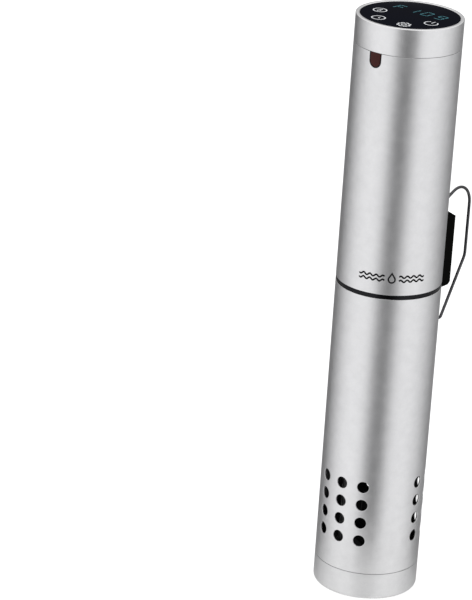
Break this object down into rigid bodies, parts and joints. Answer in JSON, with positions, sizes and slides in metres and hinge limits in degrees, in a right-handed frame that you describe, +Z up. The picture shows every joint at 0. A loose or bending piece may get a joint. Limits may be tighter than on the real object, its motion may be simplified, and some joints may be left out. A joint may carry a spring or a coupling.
{
  "type": "sous vide circulator",
  "caption": "Tubular steel sous vide circulator: touch panel on top, sprung wire pot clip, and a perforated sleeve over the heater and impeller.",
  "frame": {"origin": "centre of the flat underside of the base cap, on the axis of the stick", "axes": "+Z up along the stick, -Y towards the reader of the touch panel and the status window, +Y through the pot clip"},
  "size_m": [0.07, 0.0957, 0.398],
  "materials": {
    "satin_steel": "satin blasted and brushed",
    "rim_steel": "satin with a bright rim",
    "wire_steel": "polished spring wire",
    "inner_steel": "plain",
    "panel_glass": "gloss black printed glass",
    "window_red": "gloss dark red tint",
    "band_black": "semi-gloss",
    "clip_black": "fine matt moulding",
    "inner_black": "matt moulding",
    "frame_white": "natural moulding",
    "board_green": "solder mask",
    "chip_black": "moulded package",
    "zinc": "zinc plated",
    "heatsink": "extruded",
    "brass": "turned",
    "motor_zinc": "zinc plated can",
    "magnet": "sintered",
    "copper": "enamelled winding",
    "carbon": "pressed carbon",
    "seal_rubber": "moulded",
    "component": "moulded case"
  },
  "bodies": {
    "housing": {"head_bezel": "rim_steel", "touch_glass": "panel_glass", "glass_carrier": "inner_black", "head_collar": "inner_black", "panel_board": "board_green", "digit_module": "chip_black", "key_springs": "zinc", "panel_screws": "zinc", "beeper": "chip_black", "indicator_board": "board_green", "status_window": "window_red", "upper_tube": "satin_steel", "cord_gland": "clip_black", "terminal_block": "frame_white", "inner_frame": "frame_white", "frame_screws": "zinc", "control_board": "board_green", "control_chip": "chip_black", "wifi_module": "zinc", "power_board": "board_green", "power_relay": "component", "transformer": "chip_black", "smoothing_capacitors": "component", "triac_heat_sink": "heatsink", "motor_mount": "frame_white", "motor_screws": "zinc", "motor_can": "motor_zinc", "motor_end_bell": "inner_black", "motor_bearings": "brass", "motor_magnets": "magnet", "motor_brushes": "carbon", "bulkhead": "inner_black", "bulkhead_ring_seal": "seal_rubber", "sealing_band": "band_black", "shaft_seal": "seal_rubber", "heater_flange": "inner_steel", "heater_coil": "inner_steel", "heater_terminals": "zinc", "temperature_probe": "inner_steel", "level_electrodes": "inner_steel", "shaft_tube": "inner_black", "shaft_bush": "brass", "clip_block": "clip_black", "clip_screws": "zinc"},
    "rotor": {"motor_shaft": "inner_steel", "motor_rotor": "copper", "commutator": "brass", "cooling_fan": "inner_black", "shaft_coupling": "inner_black", "drive_shaft": "inner_steel", "impeller": "inner_black", "impeller_nut": "zinc"},
    "sleeve": {"lower_sleeve": "satin_steel", "sleeve_collar": "inner_black"},
    "cap": {"base_cap": "satin_steel"},
    "clip": {"clip_wire": "wire_steel"}
  },
  "joints": [
    {"name": "impeller_spin", "type": "hinge", "parent": "housing", "child": "rotor", "pos_m": [0, 0, 0.15], "axis": [0, 0, 1], "continuous": true},
    {"name": "sleeve_removal", "type": "slide", "parent": "housing", "child": "sleeve", "axis": [0, 0, 1], "range_m": [-0.2, 0]},
    {"name": "cap_removal", "type": "slide", "parent": "sleeve", "child": "cap", "axis": [0, 0, 1], "range_m": [-0.035, 0]},
    {"name": "clip_swing", "type": "hinge", "parent": "housing", "child": "clip", "pos_m": [0, 0.037, 0.256], "axis": [1, 0, 0], "range_deg": [0, 5], "stiffness_Nm_per_rad": 4, "springref_deg": -3.44}
  ]
}
